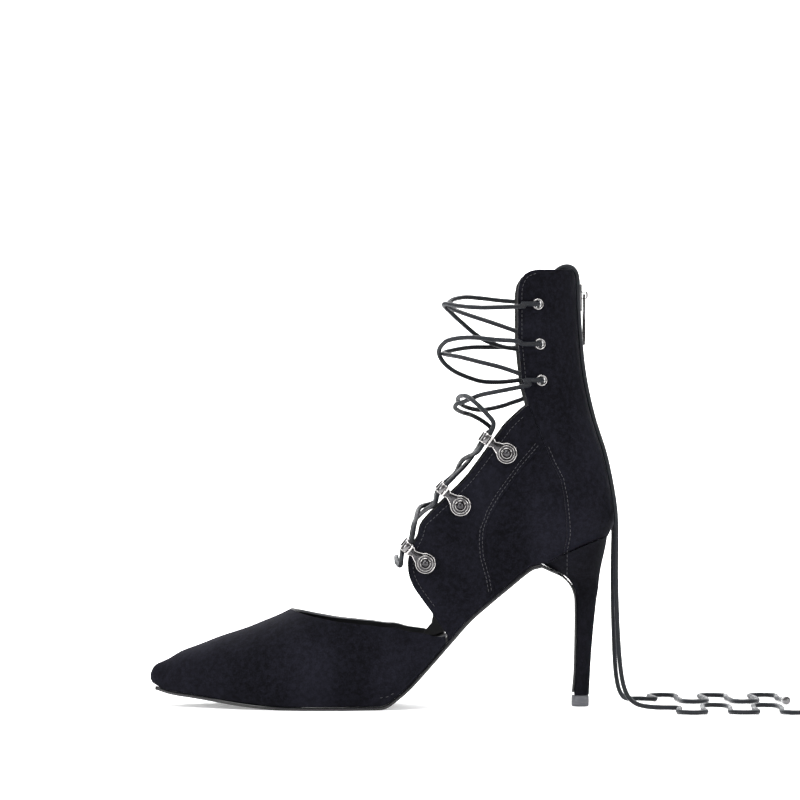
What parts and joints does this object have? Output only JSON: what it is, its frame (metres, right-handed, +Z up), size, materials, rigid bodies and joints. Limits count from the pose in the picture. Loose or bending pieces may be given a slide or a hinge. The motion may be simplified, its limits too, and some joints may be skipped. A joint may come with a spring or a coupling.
{
  "type": "lace up heel",
  "caption": "Pointed d'Orsay stiletto in black suede with a tall zipped back cuff, lace hooks and eyelets, and long cord ties that trail from the cuff to the floor.",
  "frame": {"origin": "centre of the shoe's box on the floor, without the free ties", "axes": "toe towards -X, heel towards +X, +Z up, -Y the lateral side of this left shoe"},
  "size_m": [0.3272, 0.1271, 0.2209],
  "materials": {
    "black_suede": "napped suede, matte with a faint blue sheen",
    "black_sole": "smooth, glossy black",
    "black_lining": "smooth semi-matte lining",
    "top_piece_rubber": "matte",
    "gunmetal": "polished gunmetal",
    "zip_teeth": "dark metal teeth",
    "waxed_cord": "waxed braid with a soft sheen"
  },
  "bodies": {
    "shoe": {"outsole": "black_sole", "insole": "black_lining", "vamp": "black_suede", "quarters": "black_suede", "heel": "black_suede", "top_piece": "top_piece_rubber", "hook_lateral_1": "gunmetal", "hook_lateral_2": "gunmetal", "hook_lateral_3": "gunmetal", "hook_medial_1": "gunmetal", "hook_medial_2": "gunmetal", "hook_medial_3": "gunmetal", "rivet_lateral_1": "gunmetal", "rivet_lateral_2": "gunmetal", "rivet_lateral_3": "gunmetal", "rivet_medial_1": "gunmetal", "rivet_medial_2": "gunmetal", "rivet_medial_3": "gunmetal", "eyelet_lateral_1": "gunmetal", "eyelet_lateral_2": "gunmetal", "eyelet_lateral_3": "gunmetal", "eyelet_medial_1": "gunmetal", "eyelet_medial_2": "gunmetal", "eyelet_medial_3": "gunmetal", "lacing_hooks": "waxed_cord", "lacing_middle": "waxed_cord", "lacing_upper": "waxed_cord", "zip_chain": "zip_teeth", "zip_stop": "gunmetal", "zip_slider": "gunmetal", "tie_lateral": "waxed_cord", "tie_medial": "waxed_cord", "tie_tip_lateral": "gunmetal", "tie_tip_medial": "gunmetal"},
    "pull_tab": {"zip_pull": "gunmetal"}
  },
  "joints": [
    {"name": "pull_swing", "type": "hinge", "parent": "shoe", "child": "pull_tab", "pos_m": [0.1005, 0, 0.20535], "axis": [0, -1, 0], "range_deg": [-2, 160]}
  ]
}
